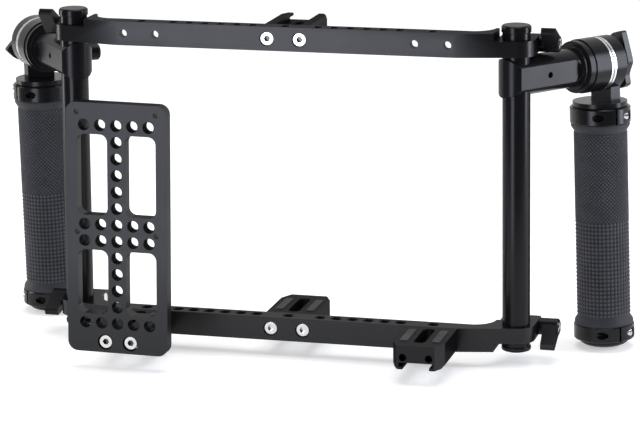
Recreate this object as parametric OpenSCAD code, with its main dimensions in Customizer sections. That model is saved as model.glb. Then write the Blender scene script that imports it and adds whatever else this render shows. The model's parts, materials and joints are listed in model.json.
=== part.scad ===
// Cage for a small field monitor. Two clamp bars ride on two round rods. Four shoe
// blocks and a cheese plate bolt to the bars, and two handles hang on toothed joints.
// Millimetres, +Z up, -Y is the side with the cheese plate. The origin is the centre
// hole of the bottom bar, at its underside.

/* [Frame] */
// Distance between the axes of the two rods
rod_span = 248; // [236:1:320]
// Diameter of the rods
rod_d = 15; // [14:0.1:16]
// Wall of the hollow rods
rod_wall = 2.4; // [1.5:0.1:3]
// Height over both bars
frame_h = 173; // [168:1:240]
// Distance from the bars' middle plane back to the rods' axes
rod_back = 11; // [10:0.5:13]
// Diameter of the caps on the rod ends
cap_d = 16; // [15.5:0.1:18]
// Height of a cap beyond its rod end
cap_h = 3.8; // [2.5:0.1:6]
// Length of rod that shows above a top clamp
rod_show = 3.9; // [2:0.1:8]
// Length of rod that shows below a bottom clamp
rod_low = 3; // [2:0.1:8]

/* [Bars] */
// Height of a bar
bar_h = 13; // [13:0.1:14]
// Thickness of a bar, front to back
bar_t = 10; // [9.5:0.1:11]
// Distance before the rod axis at which the front face starts to turn back
end_run = 29.7; // [26:0.1:36]
// Wall round the rod in a clamp
eye_wall = 2.5; // [2:0.1:3.5]
// Length of a clamp's ears behind the rod axis
ear_back = 19; // [18.5:0.1:22]
// Width of a clamp's slit
slit_w = 2; // [1:0.1:3]
// Height that is cut away from a bar at its clamp
relief_h = 4.5; // [3.5:0.1:4.5]
// Distance from the rod axis in to that cut
relief_run = 10.2; // [10:0.1:12]
// Radius of the hollow between the back face and the inner ear
flare_r = 12; // [8:0.5:13]
// Distance from the rod axis back to the clamp stud
stud_back = 13.5; // [12.5:0.1:14]
// Pitch of every row of holes
pitch = 9; // [9:0.1:9.4]
// Diameter of the accessory holes
tap_d = 6.35; // [5:0.01:6.35]

/* [Fasteners] */
// Diameter of the small screws' shanks
screw_d = 4; // [3:0.1:4]
// Diameter of their heads
head_d = 7; // [6:0.1:7.2]
// Height of their heads
head_h = 3.9; // [3:0.1:4]
// Diameter of the counterbores
sink_d = 8; // [7.6:0.1:8]
// Depth of the counterbores
sink_h = 4.8; // [4.2:0.1:5]
// Length of thread in a block
screw_grip = 8; // [5:0.5:9]
// Diameter of the clamp studs
stud_d = 4; // [3.5:0.1:4.2]

/* [Blocks] */
// Width of a shoe block
block_w = 28; // [27:0.1:31]
// Length of a shoe block
block_l = 38; // [36:0.5:44]
// Width of the corner cuts at the free end
corner_x = 3.8; // [2:0.1:5]
// Length of the corner cuts
corner_y = 8; // [5:0.1:9]
// Width of the shoe channel's mouth
shoe_mouth = 14.4; // [13:0.1:15]
// Width of the shoe channel inside
shoe_w = 18.6; // [18:0.1:19]
// Thickness of the channel's lips
lip_t = 1.5; // [1.2:0.1:1.6]
// Height of the channel inside its lips
shoe_h = 2.2; // [2:0.1:2.3]
// Width of the slot between the pads
slot_w = 6.5; // [5:0.1:7]
// Width of a rubber pad
pad_w = 4.5; // [3:0.1:4.6]
// Length of a rubber pad
pad_l = 22.5; // [15:0.5:24]
// Thickness of a rubber pad
pad_t = 1.3; // [1:0.1:2]
// Height by which a pad stands proud
pad_proud = 0.3; // [0.1:0.1:0.6]
// Spacing of the two screw holes in the free end
end_holes = 14; // [13:0.1:15]

/* [Cheese plate] */
// Width of the plate
plate_w = 56; // [54:0.5:60]
// Thickness of the plate
plate_t = 7; // [6:0.1:8]
// Corner radius of the plate
plate_r = 5.5; // [3:0.1:7]
// Edge below the screw line
plate_foot = 5.6; // [5:0.1:6.5]
// Edge above the top row of holes
plate_head = 12.6; // [10:0.1:14]
// Distance from the screw line up to the lowest row of holes
first_row = 10.4; // [10.4:0.1:14]
// Width of a window
window_w = 17; // [14:0.1:17.4]
// Distance from a full row of holes to a window
window_gap = 5; // [4.4:0.1:6]
// Corner radius of a window
window_r = 4.2; // [2:0.1:6]
// Diameter of the four small holes
pin_d = 3; // [2:0.1:3.4]

/* [Arms] */
// Angle of the right arm out from straight back, in degrees
right_angle = 37.5; // [20:0.5:60]
// Angle of the left arm out from straight back, in degrees
left_angle = 39; // [20:0.5:60]
// Height of the arms' axes
arm_z = 148.3; // [120:0.1:148.4]
// Diameter of an arm
arm_d = 21; // [20:0.1:22]
// Distance from the arm's axis to its flats
arm_flat = 8.7; // [8.5:0.1:9]
// Radius of the arm's end round the rod
arm_end_r = 9.6; // [9.4:0.05:10.4]
// Distance from the rod to the flange
flange_at = 41; // [38:0.5:46]
// Length of the flange's first ring
flange_l = 3.5; // [2:0.1:5]
// Diameter of that ring
flange_d = 28.4; // [27:0.1:30]
// Length of the arm's drum behind that ring
drum_l = 10.7; // [8:0.1:14]
// Diameter of drum and toothed rings
drum_d = 29.6; // [28:0.1:32]
// Distance from the rod to the arm's clamp stud
arm_stud_at = 16.5; // [15:0.1:18]
// Number of teeth on a ring
teeth = 60; // [36:2:72]
// Thickness of a ring at the middle of its teeth
ring_mid = 1.35; // [1:0.05:2]
// Gap between the tips of facing teeth when the joint is slack
tooth_gap = 0.1; // [0.05:0.01:0.3]
// Diameter of the joint's bolt
bolt_d = 6; // [5:0.1:7]

/* [Handles] */
// Thickness of the handle's disc
disc_t = 8.2; // [7.6:0.1:10]
// Width of the neck
neck_w = 15.8; // [12:0.1:20]
// Thickness of the neck
neck_t = 7; // [5:0.1:7.5]
// Distance from the arm's axis down to the top of the base
base_drop = 20.3; // [18:0.1:24]
// Thickness of the base
base_t = 2.6; // [2:0.1:4]
// Diameter of the base
base_d = 29.9; // [28:0.1:31]
// Diameter of the core tube
core_d = 21; // [18:0.1:21.4]
// Diameter of the bore in the core tube
core_bore = 16; // [10:0.1:17]
// Diameter of the lock rings
lock_d = 33.2; // [32:0.1:36]
// Height of the upper lock ring
lock_h = 9; // [8:0.1:11]
// Height of the lower lock ring
lower_lock_h = 8.4; // [8:0.1:11]
// Diameter of the rubber grip
grip_d = 29.2; // [27:0.1:31]
// Length of the rubber grip
grip_l = 111.4; // [90:0.1:130]
// Length of the grip's flared ends
flare_l = 5.4; // [3:0.1:10]
// Height of the domed end cap
dome_h = 5; // [3:0.1:8]
// Lean of the right handle's foot to the front, in degrees
right_lean = 2; // [-5:0.1:5]
// Lean of the left handle's foot to the back, in degrees
left_lean = 1.4; // [-5:0.1:5]

/* [Levers and knobs] */
// Diameter of a lever's hub
hub_d = 9.2; // [8:0.1:9.2]
// Length of a lever's hub
hub_l = 10.9; // [10:0.1:14]
// Width of a lever's blade
blade_w = 7.6; // [6:0.1:8.4]
// Distance from the hub's axis to the blade's tip
blade_r = 16; // [12:0.1:17]
// Thickness of the blade's tip
blade_tip = 4; // [2:0.1:5]
// Span of the knob's two wings
wing_span = 34; // [28:0.5:38]
// Width of a wing at its tip
wing_w = 5.6; // [4:0.1:8]
// Thickness of the wings
wing_t = 6.9; // [4:0.1:8]
// Length of the knob
knob_l = 9.2; // [8:0.1:12]
// Diameter of the knob's hub
knob_d = 17; // [13:0.1:18]

/* [Hidden] */
$fn = 64;

// Colours
black = [0.13, 0.13, 0.14];
dark = [0.2, 0.2, 0.22];
steel = [0.78, 0.78, 0.76];
rubber = [0.24, 0.24, 0.26];

// Clearances: running fits, screw shanks, and the overrun of cuts
run_gap = 0.05;
shank_gap = 0.2;
face_gap = 0.2;
over = 1;
soft = 0.5;

// Frame
rod_x = rod_span / 2;
rod_r = rod_d / 2;
clamp_h = bar_h - relief_h;
rod_foot = relief_h - rod_low;
rod_top = frame_h - relief_h + rod_show;
cap_stem = 8;
cap_stem_d = rod_d - 2 * rod_wall;
cap_edge = 0.8;

// Clamps
eye_r = rod_r + eye_wall;
bore_r = rod_r + run_gap;
ear_y = rod_back + ear_back;
stud_y = rod_back + stud_back;
stud_r = stud_d / 2;
stud_head_r = 3.6;
stud_head_h = 2.6;
clamp_mid = relief_h + clamp_h / 2;
horn_w = 2;

// Front facet: it runs from the end of the straight face just into the eye's circle
blend_bite = 0.15;
turn_r = eye_r - blend_bite;
turn_x = rod_x - end_run;
turn_dx = end_run;
turn_dy = rod_back + bar_t / 2;
turn_far = norm([turn_dx, turn_dy]);
turn_dir = atan2(turn_dy, turn_dx) - asin(turn_r / turn_far);
turn_len = sqrt(turn_far * turn_far - turn_r * turn_r);
touch_x = turn_x + turn_len * cos(turn_dir);
touch_y = turn_len * sin(turn_dir) - bar_t / 2;

// Rows of holes in the bars, counted in pitches from the middle
bar_holes = [0, 2, 3, 4, 5, 6, 7, 9];
rear_screws = [1];
front_screws = [8, 10];
front_block_x = 9 * pitch;

// Blocks, as lengths along the block from the bar
block_y = bar_t / 2;
pad_start = 6.5;
slot_start = 3.5;
slot_end = 31;
pad_gap = 3.2;
thread_r = screw_d / 2;
shank_r = screw_d / 2 - run_gap;
end_thread = 6.5;
shoe_chamfer = 1.4;

// Cheese plate
plate_y = -(block_y + block_l);
plate_rows = 13;
plate_cols = 5;
full_rows = [0, 6, 7, 12];
screw_z = bar_h / 2;
row_z = screw_z + first_row;
plate_z = screw_z - plate_foot;
plate_h = plate_foot + first_row + (plate_rows - 1) * pitch + plate_head;
pin_x = 2.45 * pitch;
pin_z_head = 0.75 * pitch;

// Arms, as lengths along the arm from the rod's axis
arm_r = arm_d / 2;
stud_tip_r = 1.65;
stud_tip_at = 4;
drum_r = drum_d / 2;
flange_r = flange_d / 2;
collar_r = 12.4;
collar_l = 2.2;
groove_l = 0.5;
groove_depth = 0.5;
flat_end_r = sqrt(arm_r * arm_r - arm_flat * arm_flat) + soft;
flat_end_at = flange_at - collar_l - flat_end_r - soft;
split_end = 27;
split_w = 1.5;
drum_at = flange_at + flange_l + groove_l;
arm_end = drum_at + drum_l;
bolt_r = bolt_d / 2;
bolt_depth = 15;

// Teeth: their height is half of their pitch, so the flanks stand at 45 degrees
tooth_share = PI / teeth;
ring_step = 0.15;
ring_outer = drum_r - ring_step;
ring_inner = 8.5;
ring_far = 2 * ring_mid + tooth_share * ring_outer + tooth_gap;
disc_at = arm_end + ring_far;

// Handles, in heights above the arm's axis
handle_offset = 0.4;
handle_at = disc_at + handle_offset;
base_top = -base_drop;
base_bottom = base_top - base_t;
base_r = base_d / 2;
core_r = core_d / 2;
lock_r = lock_d / 2;
grip_r = grip_d / 2;
lock_gap = 0.3;
spigot_r = 12.8;
lock_top = base_bottom - lock_gap;
grip_top = lock_top - lock_h;
grip_bottom = grip_top - grip_l;
lower_lock_bottom = grip_bottom - lower_lock_h;
dome_r = 13.4;
dome_edge = 1.2;
dome_step = 15;
flare_step = 0.5;
flare_r_end = lock_r - flare_step;
flare_lip = 1.2;
lock_edge = 0.6;
pinch_r = 13.2;
pinch_turn = 100.6;
pinch_d = 3;
pinch_head_d = 4.8;
pinch_head_h = 4;
pinch_head_at = 8.2;
pinch_mouth_d = 4;
pinch_mouth_at = 4.4;
pinch_len = 13.2;
lock_slit = 1.2;
neck_at = disc_at + disc_t - neck_t;
disc_edge = 0.8;

// Levers and knobs
hub_r = hub_d / 2;
hub_edge = 0.7;
blade_start = 2.8;
blade_root_share = 0.95;
blade_edge = 0.8;
lever_screw_r = 3;
lever_screw_h = 0.9;
lever_sink = 0.6;
top_left_turn = 51;
top_right_turn = 55;
bottom_left_turn = 109;
bottom_right_turn = 122;
arm_lever_turn = 80;
knob_gap = 0.2;
knob_at = disc_at + disc_t + knob_gap;
knob_r = knob_d / 2;
wing_edge = 0.8;
right_knob_turn = 0;
left_knob_turn = 106;

// The toothed ring on the end of an arm, and the one that faces it on a handle
module arm_teeth() {
  translate([arm_end, 0, 0])
    toothed_ring();
}

module handle_teeth() {
  translate([disc_at, 0, 0])
    mirror([1, 0, 0])
      toothed_ring();
}

// The pinch screws of both lock rings
module lock_screws() {
  pinch_screw(grip_top + lock_h / 2);
  pinch_screw(lower_lock_bottom + lower_lock_h / 2);
}

// Draws its children on the right side for s = 1 and mirrored on the left for s = -1
module side(s) {
  if (s > 0)
    children();
  else
    mirror([1, 0, 0])
      children();
}

// A cylinder along +X
module rod_x_axis(r, l) {
  rotate([0, 90, 0])
    cylinder(r = r, h = l);
}

// A rectangle with round corners, centred, made of exact arcs
module round_rect(w, h, r) {
  square([w - 2 * r, h], center = true);
  square([w, h - 2 * r], center = true);
  for (x = [-1, 1], y = [-1, 1])
    translate([x * (w / 2 - r), y * (h / 2 - r)])
      circle(r = r);
}

// A slot with round ends along Y, from y0 to y1
module round_slot(w, y0, y1) {
  translate([-w / 2, y0 + w / 2])
    square([w, y1 - y0 - w]);
  for (y = [y0 + w / 2, y1 - w / 2])
    translate([0, y])
      circle(d = w);
}

// Plan of one half of a bar: straight beam, turned front, eye, ears and hollow flare
module bar_plan() {
  polygon([
    [0, -bar_t / 2],
    [turn_x, -bar_t / 2],
    [touch_x, touch_y],
    [rod_x, rod_back],
    [rod_x - eye_r, rod_back],
    [rod_x - eye_r, bar_t / 2],
    [0, bar_t / 2]
  ]);
  translate([rod_x, rod_back])
    circle(r = eye_r);
  translate([rod_x - eye_r, rod_back])
    square([2 * eye_r, ear_back]);
  difference() {
    translate([rod_x - eye_r - horn_w - flare_r, bar_t / 2])
      square([flare_r + horn_w, flare_r]);
    translate([rod_x - eye_r - horn_w - flare_r, bar_t / 2 + flare_r - blend_bite])
      circle(r = flare_r);
  }
}

// A counterbored screw hole along +Y; its counterbore opens at the face y = 0
module sunk_hole() {
  rotate([-90, 0, 0]) {
    translate([0, 0, -over])
      cylinder(d = sink_d, h = sink_h + over);
    cylinder(r = shank_r + shank_gap, h = bar_t + over);
  }
}

// A bar as it lies at the bottom: its clamps keep the upper part of its height
module bar() {
  difference() {
    for (s = [1, -1])
      side(s)
        linear_extrude(bar_h)
          bar_plan();
    for (s = [1, -1])
      side(s) {
        translate([rod_x - relief_run, -bar_t, -over])
          cube([relief_run + 2 * eye_r, bar_t + ear_y + over, relief_h + over]);
        translate([rod_x, rod_back, -over])
          cylinder(r = bore_r, h = bar_h + 2 * over);
        translate([rod_x - slit_w / 2, rod_back, -over])
          cube([slit_w, ear_back + over, bar_h + 2 * over]);
        translate([rod_x - eye_r - flare_r, stud_y, clamp_mid])
          rod_x_axis(stud_r + run_gap, flare_r + 2 * eye_r + over);
        translate([rod_x - eye_r - flare_r, stud_y, clamp_mid])
          rod_x_axis(stud_head_r + run_gap, flare_r + stud_head_h);
        for (i = front_screws)
          translate([i * pitch, bar_t / 2, bar_h / 2])
            rotate([0, 0, 180])
              sunk_hole();
        for (i = rear_screws)
          translate([i * pitch, -bar_t / 2, bar_h / 2])
            sunk_hole();
      }
    for (s = [1, -1], i = bar_holes)
      translate([s * i * pitch, 0, -over])
        cylinder(d = tap_d, h = bar_h + 2 * over);
  }
}

// Turns its children over from the bottom of the frame to the top
module to_top() {
  translate([0, 0, frame_h])
    mirror([0, 0, 1])
      children();
}

// The stud of a bar's right clamp: round head in the inner ear, shank through both
module clamp_stud() {
  translate([rod_x - eye_r, stud_y, clamp_mid]) {
    rod_x_axis(stud_head_r, stud_head_h);
    rod_x_axis(stud_r, 2 * eye_r + face_gap + hub_l - lever_sink);
  }
}

// Plan of a shoe block, from the bar at y = 0 to its free end
module block_plan() {
  polygon([
    [-block_w / 2, 0],
    [block_w / 2, 0],
    [block_w / 2, block_l - corner_y],
    [block_w / 2 - corner_x, block_l],
    [corner_x - block_w / 2, block_l],
    [-block_w / 2, block_l - corner_y]
  ]);
}

// End view of a shoe block: the channel opens downward between two lips
module block_end_view() {
  difference() {
    polygon([
      [shoe_chamfer - block_w / 2, 0],
      [block_w / 2 - shoe_chamfer, 0],
      [block_w / 2, shoe_chamfer],
      [block_w / 2, bar_h],
      [-block_w / 2, bar_h],
      [-block_w / 2, shoe_chamfer]
    ]);
    translate([-shoe_mouth / 2, -over])
      square([shoe_mouth, lip_t + over]);
    translate([-shoe_w / 2, lip_t])
      square([shoe_w, shoe_h]);
  }
}

// Place of a pad on a block
module pad_plan(gap) {
  for (x = [-1, 1])
    translate([x * (slot_w / 2 + pad_gap + pad_w / 2), pad_start + pad_l / 2])
      round_rect(pad_w - 2 * gap, pad_l - 2 * gap, pad_w / 4);
}

// A shoe block with its channel down and its pads up
module block() {
  difference() {
    intersection() {
      linear_extrude(bar_h)
        block_plan();
      translate([0, block_l, 0])
        rotate([90, 0, 0])
          linear_extrude(block_l)
            block_end_view();
    }
    translate([0, 0, -over])
      linear_extrude(bar_h + 2 * over)
        round_slot(slot_w, slot_start, slot_end);
    translate([0, 0, bar_h + pad_proud - pad_t])
      linear_extrude(pad_t)
        pad_plan(0);
    for (x = [-1, 1]) {
      translate([x * pitch, -over, bar_h / 2])
        rotate([-90, 0, 0])
          cylinder(r = thread_r, h = screw_grip + 2 * over);
      translate([x * end_holes / 2, block_l - end_thread, bar_h / 2])
        rotate([-90, 0, 0])
          cylinder(r = thread_r, h = end_thread + over);
    }
  }
}

// The two rubber pads of a block
module pads() {
  translate([0, 0, bar_h + pad_proud - pad_t])
    linear_extrude(pad_t)
      pad_plan(run_gap);
}

// Places for blocks: behind the middle of a bar, and before it at x
module rear_place() {
  translate([0, block_y, 0])
    children();
}

module front_place(x) {
  translate([x, -block_y, 0])
    mirror([0, 1, 0])
      children();
}

// A socket screw along +Y, its head's underside at y = 0
module socket_screw(l) {
  rotate([-90, 0, 0]) {
    cylinder(r = shank_r, h = l);
    difference() {
      translate([0, 0, -head_h])
        cylinder(d = head_d, h = head_h);
      translate([0, 0, -head_h - over])
        cylinder(d = head_d / 2, h = head_h / 2 + over, $fn = 6);
    }
  }
}

// The screws that hold the block behind the middle of a bar
module rear_block_screws() {
  for (x = [-1, 1])
    translate([x * pitch, sink_h - bar_t / 2, bar_h / 2])
      socket_screw(bar_t - sink_h + screw_grip);
}

// Front view of the cheese plate, from the screw line up
module plate_view() {
  difference() {
    translate([0, plate_h / 2 - plate_foot])
      round_rect(plate_w, plate_h, plate_r);
    for (j = [0 : plate_rows - 1])
      translate([0, first_row + j * pitch])
        circle(d = tap_d);
    for (j = full_rows, i = [-2, -1, 1, 2])
      translate([i * pitch, first_row + j * pitch])
        circle(d = tap_d);
    for (x = [-1, 1], k = [0, 2]) {
      low = first_row + full_rows[k] * pitch + window_gap;
      high = first_row + full_rows[k + 1] * pitch - window_gap;
      translate([x * 1.5 * pitch, (low + high) / 2])
        round_rect(window_w, high - low, window_r);
    }
    for (x = [-1, 1]) {
      translate([x * pin_x, first_row + (plate_rows - 1) * pitch + pin_z_head])
        circle(d = pin_d);
      translate([x * pin_x, first_row + (full_rows[1] + full_rows[2]) / 2 * pitch])
        circle(d = pin_d);
    }
  }
}

module plate() {
  translate([-front_block_x, plate_y, screw_z])
    difference() {
      rotate([90, 0, 0])
        linear_extrude(plate_t)
          plate_view();
      for (x = [-1, 1])
        translate([x * end_holes / 2, -plate_t, 0])
          sunk_hole();
    }
}

// Frame of an arm on side s: +X runs along the arm, +Y to its inner side
module arm_frame(s) {
  side(s)
    translate([rod_x, rod_back, arm_z])
      rotate([0, 0, 90 - (s > 0 ? right_angle : left_angle)])
        children();
}

// Outline of an arm's flat, seen square to it
module flat_view() {
  translate([-arm_d, -flat_end_r])
    square([arm_d + flat_end_at, 2 * flat_end_r]);
  translate([flat_end_at, 0])
    circle(r = flat_end_r);
}

// An arm: clamp end round the rod, two flats, flange ring, drum and bolt hole
module arm() {
  difference() {
    union() {
      intersection() {
        translate([-arm_d, 0, 0])
          rod_x_axis(arm_r, arm_d + flange_at);
        union() {
          translate([0, 0, -arm_d])
            cylinder(r = arm_end_r, h = 2 * arm_d);
          translate([0, -arm_d, -arm_d])
            cube([2 * flange_at, 2 * arm_d, 2 * arm_d]);
        }
      }
      translate([flange_at - collar_l, 0, 0])
        rod_x_axis(collar_r, collar_l);
      translate([flange_at, 0, 0])
        rod_x_axis(flange_r, flange_l);
      translate([flange_at, 0, 0])
        rod_x_axis(flange_r - groove_depth, drum_at - flange_at);
      translate([drum_at, 0, 0])
        rod_x_axis(drum_r, drum_l);
    }
    for (s = [1, -1])
      translate([0, s * (arm_flat + arm_r / 2), 0])
        rotate([90, 0, 0])
          linear_extrude(arm_r, center = true)
            flat_view();
    translate([0, 0, -arm_d])
      cylinder(r = bore_r, h = 2 * arm_d);
    translate([0, -split_w / 2, -arm_d])
      cube([split_end, split_w, 2 * arm_d]);
    translate([arm_stud_at, 0, 0])
      rotate([90, 0, 0]) {
        translate([0, 0, -arm_d])
          cylinder(r = stud_r + run_gap, h = arm_d + arm_flat - stud_tip_at);
        cylinder(r = stud_tip_r, h = arm_d);
      }
    translate([arm_end - bolt_depth, 0, 0])
      rod_x_axis(bolt_r + run_gap, bolt_depth + over);
  }
}

// The stud of an arm's clamp, from inside the outer flat to the lever
module arm_stud() {
  translate([arm_stud_at, stud_tip_at - arm_flat, 0])
    rotate([-90, 0, 0])
      cylinder(r = stud_r, h = 2 * arm_flat - stud_tip_at + face_gap + hub_l - lever_sink);
}

// A toothed ring on the plane x = 0. Every flank is a flat facet through the ring's
// centre, so tooth height grows with the radius and two rings mesh face to face.
module toothed_ring() {
  count = 2 * teeth;
  step = 360 / count;
  points = [
    for (i = [0 : count - 1])
      for (r = [ring_inner, ring_outer], top = [0, 1])
        [top * (ring_mid + (i % 2 == 0 ? 1 : -1) * tooth_share * r / 2), r * cos(i * step), r * sin(i * step)]
  ];
  faces = [
    for (i = [0 : count - 1])
      let (a = 4 * i, b = 4 * ((i + 1) % count))
        each [
          [a, a + 2, b + 2, b],
          [a + 1, b + 1, b + 3, a + 3],
          [a, b, b + 1, a + 1],
          [a + 2, a + 3, b + 3, b + 2]
        ]
  ];
  polyhedron(points = points, faces = faces);
}

// Frame of a handle: the arm's frame, turned about the arm so that the foot leans
module handle_frame(s) {
  arm_frame(s)
    rotate([s > 0 ? -right_lean : left_lean, 0, 0])
      children();
}

// Puts its children on the handle's own axis
module on_handle() {
  translate([handle_at, 0, 0])
    children();
}

// The metal top of a handle: disc, neck and base
module yoke() {
  difference() {
    union() {
      translate([disc_at, 0, 0])
        rotate([0, 90, 0])
          rotate_extrude()
            polygon([
              [0, 0],
              [drum_r, 0],
              [drum_r, disc_t - disc_edge],
              [drum_r - disc_edge, disc_t],
              [0, disc_t]
            ]);
      translate([neck_at, -neck_w / 2, base_bottom])
        cube([neck_t, neck_w, -base_bottom]);
      on_handle()
        translate([0, 0, base_bottom])
          cylinder(r = base_r, h = base_t);
      on_handle()
        translate([0, 0, lock_top])
          cylinder(r = spigot_r, h = lock_gap);
    }
    translate([disc_at - over, 0, 0])
      rod_x_axis(bolt_r + run_gap, disc_t + 2 * over);
  }
}

// The tube that carries the rubber grip
module core() {
  on_handle()
    translate([0, 0, lower_lock_bottom])
      difference() {
        cylinder(r = core_r, h = lock_top - lower_lock_bottom);
        translate([0, 0, -over])
          cylinder(d = core_bore, h = lock_top - lower_lock_bottom + 2 * over);
      }
}

// The rubber sleeve, with a flared lip at each end
module grip() {
  on_handle()
    rotate_extrude()
      polygon([
        [core_r + run_gap, grip_bottom],
        [flare_r_end, grip_bottom],
        [flare_r_end, grip_bottom + flare_lip],
        [grip_r, grip_bottom + flare_l],
        [grip_r, grip_top - flare_l],
        [flare_r_end, grip_top - flare_lip],
        [flare_r_end, grip_top],
        [core_r + run_gap, grip_top]
      ]);
}

// Directions for the pinch screw of a lock ring: +Y is its axis, +X points outward
module pinch_frame(z) {
  on_handle()
    translate([0, 0, z])
      rotate([0, 0, -pinch_turn])
        children();
}

// A lock ring from z0 up, slit on one side, with a pinch screw across the slit
module lock_ring(z0, h) {
  difference() {
    on_handle()
      translate([0, 0, z0])
        rotate_extrude()
          polygon([
            [core_r + run_gap, 0],
            [lock_r - lock_edge, 0],
            [lock_r, lock_edge],
            [lock_r, h - lock_edge],
            [lock_r - lock_edge, h],
            [core_r + run_gap, h]
          ]);
    pinch_frame(z0 + h / 2) {
      translate([0, -lock_slit / 2, -h])
        cube([2 * lock_r, lock_slit, 2 * h]);
      translate([pinch_r, -lock_r, 0])
        rotate([-90, 0, 0])
          cylinder(d = pinch_d + 2 * run_gap, h = 2 * lock_r);
      translate([pinch_r, pinch_head_at - pinch_head_h, 0])
        rotate([-90, 0, 0])
          cylinder(d = pinch_head_d + 2 * face_gap, h = lock_r);
      translate([pinch_r, -lock_r - pinch_mouth_at, 0])
        rotate([-90, 0, 0])
          cylinder(d = pinch_mouth_d, h = lock_r);
    }
  }
}

// The pinch screw of a lock ring at height z
module pinch_screw(z) {
  pinch_frame(z)
    translate([pinch_r, pinch_head_at - pinch_head_h, 0])
      rotate([-90, 0, 0])
        difference() {
          union() {
            cylinder(d = pinch_head_d, h = pinch_head_h);
            translate([0, 0, pinch_head_h - pinch_len])
              cylinder(d = pinch_d, h = pinch_len - over);
          }
          translate([0, 0, pinch_head_h / 2])
            cylinder(d = pinch_head_d / 2, h = pinch_head_h, $fn = 6);
        }
}

// The domed cap that closes the foot of the core
module end_cap() {
  on_handle()
    rotate_extrude()
      polygon(concat(
        [[0, lower_lock_bottom], [dome_r, lower_lock_bottom]],
        [
          for (a = [0 : dome_step : 90])
            [dome_r * cos(a), lower_lock_bottom - dome_edge - (dome_h - dome_edge) * sin(a)]
        ]
      ));
}

// A knob with two wings, along +X
module knob(turn) {
  translate([knob_at, 0, 0])
    rotate([turn, 0, 0])
      rotate([90, 0, 90])
        difference() {
          union() {
            cylinder(r = knob_r - soft, h = knob_l);
            translate([0, 0, knob_l - wing_t])
              linear_extrude(wing_t)
                polygon([
                  [knob_r, 0],
                  [wing_w / 2, wing_span / 2 - wing_edge],
                  [wing_w / 2 - wing_edge, wing_span / 2],
                  [wing_edge - wing_w / 2, wing_span / 2],
                  [-wing_w / 2, wing_span / 2 - wing_edge],
                  [-knob_r, 0],
                  [-wing_w / 2, wing_edge - wing_span / 2],
                  [wing_edge - wing_w / 2, -wing_span / 2],
                  [wing_w / 2 - wing_edge, -wing_span / 2],
                  [wing_w / 2, wing_edge - wing_span / 2]
                ]);
          }
          translate([0, 0, -over])
            cylinder(r = bolt_r, h = knob_l - over);
        }
}

// The bolt of a toothed joint: from inside the knob into the end of the arm
module knob_bolt() {
  bolt_from = arm_end - bolt_depth + over;
  translate([bolt_from, 0, 0])
    rod_x_axis(bolt_r, knob_at + knob_l - 2 * over - bolt_from);
}

// A lever on +X: hub, and a blade that stands up before it is turned
module lever(turn) {
  rotate([turn, 0, 0])
    difference() {
      union() {
        rotate([0, 90, 0])
          rotate_extrude()
            polygon([
              [0, 0],
              [hub_r, 0],
              [hub_r, hub_l - hub_edge],
              [hub_r - hub_edge, hub_l],
              [0, hub_l]
            ]);
        translate([blade_start, 0, 0])
          rotate([90, 0, 90])
            linear_extrude(blade_w)
              polygon([
                [-hub_r * blade_root_share, 0],
                [hub_r * blade_root_share, 0],
                [blade_tip / 2, blade_r - blade_edge],
                [blade_tip / 2 - blade_edge, blade_r],
                [blade_edge - blade_tip / 2, blade_r],
                [-blade_tip / 2, blade_r - blade_edge]
              ]);
      }
      translate([-over, 0, 0])
        rod_x_axis(stud_r + run_gap, hub_l + 2 * over);
      translate([hub_l - lever_sink, 0, 0])
        rod_x_axis(lever_screw_r + run_gap, hub_l);
    }
}

// The bright screw in the end of a lever's hub
module lever_screw(turn) {
  rotate([turn, 0, 0])
    difference() {
      translate([hub_l - lever_sink, 0, 0])
        rod_x_axis(lever_screw_r, lever_screw_h);
      translate([hub_l - lever_sink + lever_screw_h / 2, 0, 0])
        rotate([0, 90, 0])
          cylinder(r = lever_screw_r / 2, h = lever_screw_h, $fn = 6);
    }
}

// Places for levers: on a bar's clamp, and on an arm's clamp
module bar_lever_place() {
  translate([rod_x + eye_r + face_gap, stud_y, clamp_mid])
    children();
}

module top_lever_place() {
  translate([rod_x + eye_r + face_gap, stud_y, frame_h - clamp_mid])
    children();
}

module arm_lever_place(s) {
  arm_frame(s)
    translate([arm_stud_at, arm_flat + face_gap, 0])
      rotate([0, 0, 90])
        children();
}

// A rod cap: a chamfered head upward from z = 0, and a stem down into the rod
module rod_cap() {
  rotate_extrude()
    polygon([
      [0, cap_h],
      [cap_d / 2 - cap_edge, cap_h],
      [cap_d / 2, cap_h - cap_edge],
      [cap_d / 2, 0],
      [cap_stem_d / 2, 0],
      [cap_stem_d / 2, -cap_stem],
      [0, -cap_stem]
    ]);
}

module rod() {
  translate([rod_x, rod_back, rod_foot])
    difference() {
      cylinder(r = rod_r, h = rod_top - rod_foot);
      translate([0, 0, -over])
        cylinder(d = cap_stem_d, h = rod_top - rod_foot + 2 * over);
    }
}

module bottom_bar() { color(black) bar(); }
module top_bar() { color(black) to_top() bar(); }
module left_rod() { color(dark) side(-1) rod(); }
module right_rod() { color(dark) side(1) rod(); }
module top_caps() { color(black) for (s = [1, -1]) translate([s * rod_x, rod_back, rod_top]) rod_cap(); }
module bottom_caps() {
  color(black)
    for (s = [1, -1])
      translate([s * rod_x, rod_back, rod_foot])
        mirror([0, 0, 1])
          rod_cap();
}
module bottom_clamp_studs() { color(steel) for (s = [1, -1]) side(s) clamp_stud(); }
module top_clamp_studs() { color(steel) to_top() for (s = [1, -1]) side(s) clamp_stud(); }

module front_left_block() { color(dark) front_place(-front_block_x) block(); }
module front_right_block() { color(dark) front_place(front_block_x) block(); }
module bottom_rear_block() { color(dark) rear_place() block(); }
module top_rear_block() { color(dark) to_top() rear_place() block(); }
module top_pads() { color(rubber) to_top() rear_place() pads(); }
module bottom_pads() {
  color(rubber) {
    front_place(-front_block_x) pads();
    front_place(front_block_x) pads();
    rear_place() pads();
  }
}

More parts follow.
